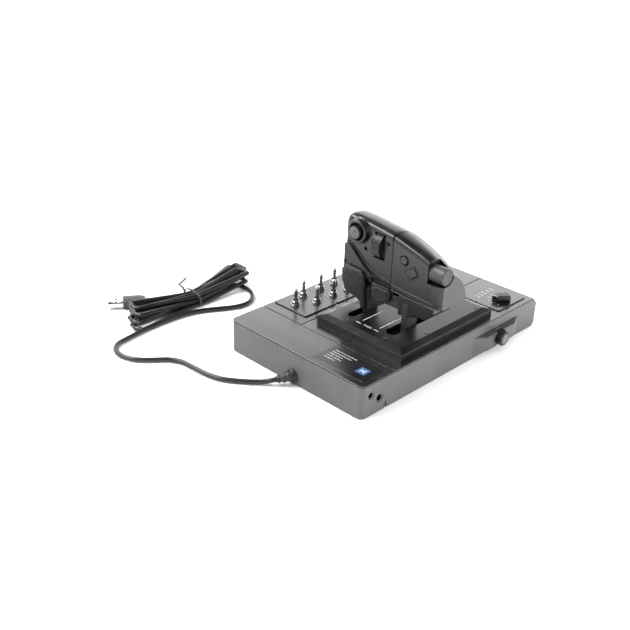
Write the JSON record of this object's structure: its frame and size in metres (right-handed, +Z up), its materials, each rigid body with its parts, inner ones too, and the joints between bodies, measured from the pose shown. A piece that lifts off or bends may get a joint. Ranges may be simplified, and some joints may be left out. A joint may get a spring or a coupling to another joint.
{
  "type": "dual-lever flight throttle",
  "caption": "Desktop flight throttle: a flat metal base with two swinging split grips in a raised gate, chrome toggle switches, a pointer selector, a side tension dial and a tied USB lead.",
  "frame": {"origin": "centre of the base footprint on the table, at the underside of the rubber mat", "axes": "+X to the user's right, +Y away from the user towards the lead, +Z up"},
  "size_m": [0.3108, 0.3222, 0.1194],
  "materials": {
    "base_shell": "satin powder coat, fine grain",
    "deck_panel": "brushed, satin black",
    "gate_panel": "satin black",
    "badge": "printed film, satin",
    "black_plastic": "moulded, semi-matt",
    "grip_plastic": "fine spark texture, satin",
    "grey_plastic": "moulded, satin",
    "rubber": "matt",
    "chrome": "polished",
    "nickel": "nickel plate",
    "steel": "turned",
    "bronze": "sintered",
    "felt": "pressed felt",
    "lever_alloy": "black coat on alloy",
    "circuit_board": "solder mask",
    "lead_pvc": "soft PVC, low sheen",
    "tie_wire": "plastic-covered wire"
  },
  "bodies": {
    "base": {"base_shell": "base_shell", "rubber_mat": "rubber", "front_cover": "deck_panel", "right_deck": "deck_panel", "centre_deck": "deck_panel", "left_deck": "deck_panel", "gate_plate": "gate_panel", "base_screws": "steel", "toggle_plate_front": "deck_panel", "toggle_plate_rear": "deck_panel", "toggle_bodies": "nickel", "toggle_nuts": "nickel", "badge_plate": "badge", "selector_plate": "deck_panel", "selector_switch": "steel", "side_housing": "base_shell", "aux_sockets": "nickel", "main_board": "circuit_board", "sensor_boards": "circuit_board", "pivot_blocks": "black_plastic", "axle": "steel", "friction_pads": "felt", "strain_relief": "black_plastic", "cord_tube": "lead_pvc", "cord_hank": "lead_pvc", "cord_tail": "lead_pvc", "cord_tie": "tie_wire", "plug_body": "black_plastic", "plug_shell": "chrome"},
    "inner_lever": {"inner_arm": "lever_alloy", "inner_bush": "bronze", "inner_magnet": "steel", "inner_grip_front": "grip_plastic", "inner_grip_back": "grip_plastic", "inner_screws": "steel", "slew_hood": "grip_plastic", "wheel_axle": "steel"},
    "slew_ring": {"slew_gimbal": "steel"},
    "slew_cap": {"slew_knob": "grip_plastic"},
    "thumb_wheel": {"tilt_wheel": "grip_plastic"},
    "inner_finger_lift": {"inner_lift": "grip_plastic"},
    "outer_lever": {"outer_arm": "lever_alloy", "outer_bush": "bronze", "outer_magnet": "steel", "outer_grip_front": "grip_plastic", "outer_grip_back": "grip_plastic", "outer_screws": "steel"},
    "hex_push": {"hex_button": "grey_plastic"},
    "square_push": {"square_button": "grip_plastic"},
    "end_dial": {"end_knob": "grey_plastic"},
    "outer_finger_lift": {"outer_lift": "grip_plastic"},
    "selector": {"selector_knob": "black_plastic"},
    "tension_dial": {"tension_knob": "black_plastic"},
    "toggle_1": {"toggle_lever_1": "chrome"},
    "toggle_2": {"toggle_lever_2": "chrome"},
    "toggle_3": {"toggle_lever_3": "chrome"},
    "toggle_4": {"toggle_lever_4": "chrome"},
    "toggle_5": {"toggle_lever_5": "chrome"},
    "toggle_6": {"toggle_lever_6": "chrome"},
    "toggle_7": {"toggle_lever_7": "chrome"}
  },
  "joints": [
    {"name": "inner_throttle", "type": "hinge", "parent": "base", "child": "inner_lever", "pos_m": [0.0025, 0.028, 0.01], "axis": [-1, 0, 0], "range_deg": [-30, 25]},
    {"name": "outer_throttle", "type": "hinge", "parent": "base", "child": "outer_lever", "pos_m": [-0.0415, 0.028, 0.01], "axis": [-1, 0, 0], "range_deg": [-30, 25]},
    {"name": "slew_up_down", "type": "hinge", "parent": "inner_lever", "child": "slew_ring", "pos_m": [0.0133, 0.024, 0.1085], "axis": [1, 0, 0], "range_deg": [-6, 6], "stiffness_Nm_per_rad": 0.05},
    {"name": "slew_left_right", "type": "hinge", "parent": "slew_ring", "child": "slew_cap", "pos_m": [0.0133, 0.024, 0.1085], "axis": [0, 0, 1], "range_deg": [-6, 6], "stiffness_Nm_per_rad": 0.05},
    {"name": "thumb_wheel_turn", "type": "hinge", "parent": "inner_lever", "child": "thumb_wheel", "pos_m": [-0.0085, 0.025, 0.101], "axis": [1, 0, 0], "range_deg": [-30, 30], "stiffness_Nm_per_rad": 0.02},
    {"name": "inner_lift_up", "type": "slide", "parent": "inner_lever", "child": "inner_finger_lift", "axis": [0, 0, 1], "range_m": [0, 0.004], "stiffness_N_per_m": 400},
    {"name": "outer_lift_up", "type": "slide", "parent": "outer_lever", "child": "outer_finger_lift", "axis": [0, 0, 1], "range_m": [0, 0.004], "stiffness_N_per_m": 400},
    {"name": "hex_button_press", "type": "slide", "parent": "outer_lever", "child": "hex_push", "axis": [0, -1, 0], "range_m": [0, 0.0012], "stiffness_N_per_m": 800},
    {"name": "square_button_press", "type": "slide", "parent": "outer_lever", "child": "square_push", "axis": [0, -1, 0], "range_m": [0, 0.0012], "stiffness_N_per_m": 800},
    {"name": "end_dial_turn", "type": "hinge", "parent": "outer_lever", "child": "end_dial", "pos_m": [-0.069, 0.023, 0.0933], "axis": [1, 0, 0], "range_deg": [-140, 140]},
    {"name": "selector_turn", "type": "hinge", "parent": "base", "child": "selector", "pos_m": [-0.0605, -0.0865, 0.033], "axis": [0, 0, 1], "range_deg": [-60, 60]},
    {"name": "tension_turn", "type": "hinge", "parent": "base", "child": "tension_dial", "pos_m": [-0.08, -0.058, 0.012], "axis": [1, 0, 0], "range_deg": [-170, 170]},
    {"name": "toggle_1_throw", "type": "hinge", "parent": "base", "child": "toggle_1", "pos_m": [0.0595, 0.0597, 0.031], "axis": [1, 0, 0], "range_deg": [-12, 12]},
    {"name": "toggle_2_throw", "type": "hinge", "parent": "base", "child": "toggle_2", "pos_m": [0.0674, 0.042, 0.031], "axis": [1, 0, 0], "range_deg": [-12, 12]},
    {"name": "toggle_3_throw", "type": "hinge", "parent": "base", "child": "toggle_3", "pos_m": [0.0503, 0.0417, 0.031], "axis": [1, 0, 0], "range_deg": [-12, 12]},
    {"name": "toggle_4_throw", "type": "hinge", "parent": "base", "child": "toggle_4", "pos_m": [0.0668, 0.0204, 0.031], "axis": [1, 0, 0], "range_deg": [-12, 12]},
    {"name": "toggle_5_throw", "type": "hinge", "parent": "base", "child": "toggle_5", "pos_m": [0.0503, 0.0204, 0.031], "axis": [1, 0, 0], "range_deg": [-12, 12]},
    {"name": "toggle_6_throw", "type": "hinge", "parent": "base", "child": "toggle_6", "pos_m": [0.0676, 0.0015, 0.031], "axis": [1, 0, 0], "range_deg": [-12, 12]},
    {"name": "toggle_7_throw", "type": "hinge", "parent": "base", "child": "toggle_7", "pos_m": [0.0503, 0.0015, 0.031], "axis": [1, 0, 0], "range_deg": [-12, 12]}
  ]
}
